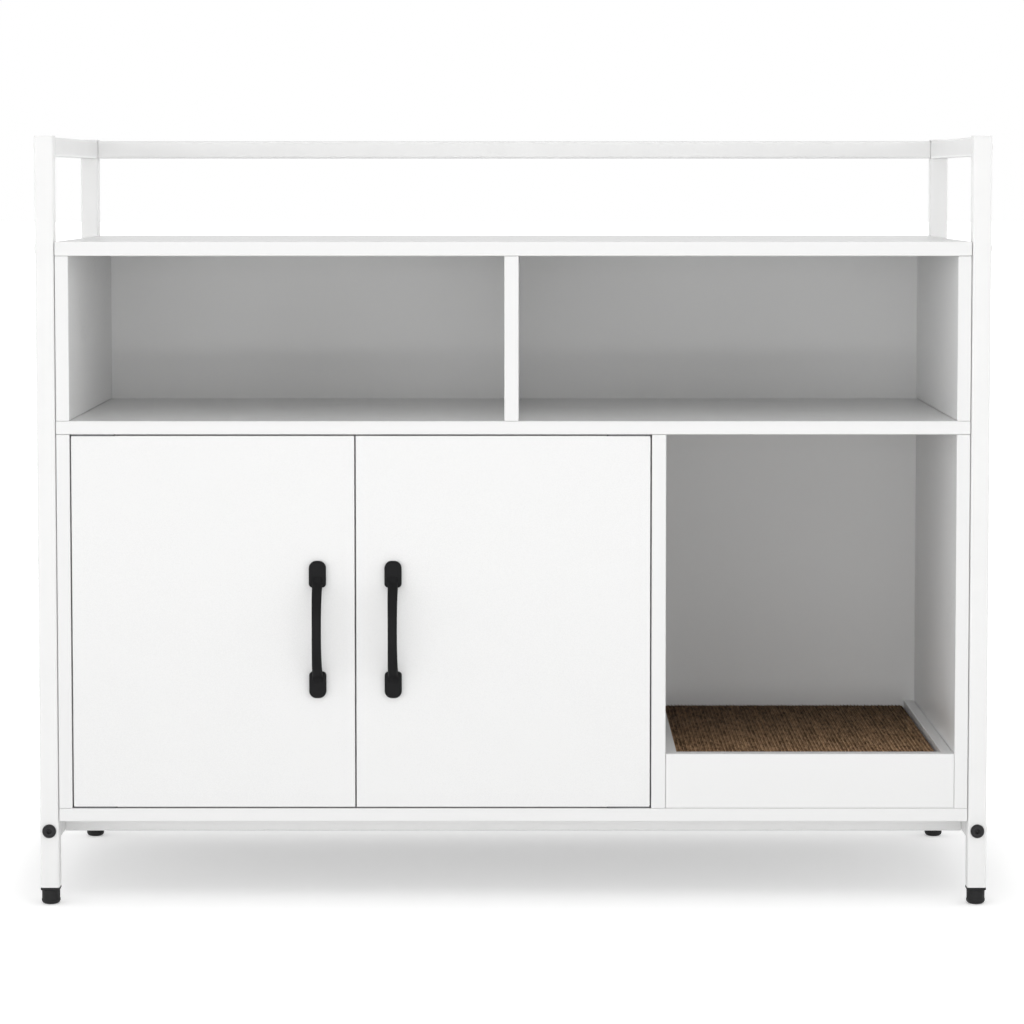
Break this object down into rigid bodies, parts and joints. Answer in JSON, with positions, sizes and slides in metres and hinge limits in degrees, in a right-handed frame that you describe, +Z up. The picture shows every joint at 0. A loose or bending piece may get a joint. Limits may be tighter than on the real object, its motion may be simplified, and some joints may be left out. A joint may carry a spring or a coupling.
{
  "type": "cat litter box cabinet",
  "caption": "White cabinet in a square steel tube frame, with open upper compartments, hinged doors before a litter compartment, a low-fenced cat entry with a scratch pad, and levelling feet.",
  "frame": {"origin": "centre of the footprint, on the floor under the levelling feet", "axes": "+X to the right of someone facing the doors, +Y back through the cabinet, +Z up"},
  "size_m": [1.0032, 0.432, 0.8115],
  "materials": {
    "frame_steel": "white powder coat",
    "laminated_board": "white melamine-faced board, semi-gloss",
    "back_board": "thin white-faced board, matt",
    "black_steel": "satin black",
    "black_plastic": "moulded",
    "white_plastic": "moulded",
    "plain_steel": "zinc plated",
    "corrugated_card": "raw cut edges"
  },
  "bodies": {
    "cabinet": {"base_side_rail_left": "frame_steel", "base_side_rail_right": "frame_steel", "board_bolt_front_left": "frame_steel", "board_bolt_front_right": "frame_steel", "board_bolt_rear_left": "frame_steel", "board_bolt_rear_right": "frame_steel", "bottom_board": "laminated_board", "foot_plug_front_left": "black_plastic", "foot_plug_front_right": "black_plastic", "foot_plug_rear_left": "black_plastic", "foot_plug_rear_right": "black_plastic", "frame_bolt_front_left": "black_steel", "frame_bolt_front_right": "black_steel", "frame_bolt_rear_left": "black_steel", "frame_bolt_rear_right": "black_steel", "front_cross_rail": "frame_steel", "front_post_left": "frame_steel", "front_post_right": "frame_steel", "hinge_plate_bottom_left": "plain_steel", "hinge_plate_bottom_right": "plain_steel", "hinge_plate_top_left": "plain_steel", "hinge_plate_top_right": "plain_steel", "lower_back_panel": "back_board", "lower_divider": "laminated_board", "lower_side_panel_left": "laminated_board", "lower_side_panel_right": "laminated_board", "magnetic_catch": "white_plastic", "rail_bolt_left": "frame_steel", "rail_bolt_right": "frame_steel", "rear_cross_rail": "frame_steel", "rear_post_left": "frame_steel", "rear_post_right": "frame_steel", "rear_top_rail": "frame_steel", "shelf_board": "laminated_board", "top_board": "laminated_board", "top_side_rail_left": "frame_steel", "top_side_rail_right": "frame_steel", "tray_cleat_left": "laminated_board", "tray_cleat_right": "laminated_board", "tray_front": "laminated_board", "upper_back_panel": "back_board", "upper_divider": "laminated_board", "upper_side_panel_left": "laminated_board", "upper_side_panel_right": "laminated_board"},
    "left_door": {"door_left": "laminated_board", "handle_left": "black_steel", "strike_plate_left": "plain_steel", "hinge_leaf_top_left": "plain_steel", "hinge_leaf_bottom_left": "plain_steel"},
    "right_door": {"door_right": "laminated_board", "handle_right": "black_steel", "strike_plate_right": "plain_steel", "hinge_leaf_top_right": "plain_steel", "hinge_leaf_bottom_right": "plain_steel"},
    "scratch_pad": {"scratch_pad": "corrugated_card"},
    "levelling_foot_front_left": {"levelling_foot_front_left": "black_plastic"},
    "levelling_foot_front_right": {"levelling_foot_front_right": "black_plastic"},
    "levelling_foot_rear_left": {"levelling_foot_rear_left": "black_plastic"},
    "levelling_foot_rear_right": {"levelling_foot_rear_right": "black_plastic"}
  },
  "joints": [
    {"name": "left_door_swing", "type": "hinge", "parent": "cabinet", "child": "left_door", "pos_m": [-0.4593, -0.1851, 0.3], "axis": [0, 0, -1], "range_deg": [0, 110]},
    {"name": "right_door_swing", "type": "hinge", "parent": "cabinet", "child": "right_door", "pos_m": [0.1395, -0.1851, 0.3], "axis": [0, 0, 1], "range_deg": [0, 110]},
    {"name": "scratch_pad_lift", "type": "slide", "parent": "cabinet", "child": "scratch_pad", "axis": [0, 0, 1], "range_m": [0, 0.12]},
    {"name": "levelling_foot_front_left_screw", "type": "slide", "parent": "cabinet", "child": "levelling_foot_front_left", "axis": [0, 0, -1], "range_m": [0, 0.01]},
    {"name": "levelling_foot_front_right_screw", "type": "slide", "parent": "cabinet", "child": "levelling_foot_front_right", "axis": [0, 0, -1], "range_m": [0, 0.01]},
    {"name": "levelling_foot_rear_left_screw", "type": "slide", "parent": "cabinet", "child": "levelling_foot_rear_left", "axis": [0, 0, -1], "range_m": [0, 0.01]},
    {"name": "levelling_foot_rear_right_screw", "type": "slide", "parent": "cabinet", "child": "levelling_foot_rear_right", "axis": [0, 0, -1], "range_m": [0, 0.01]}
  ]
}
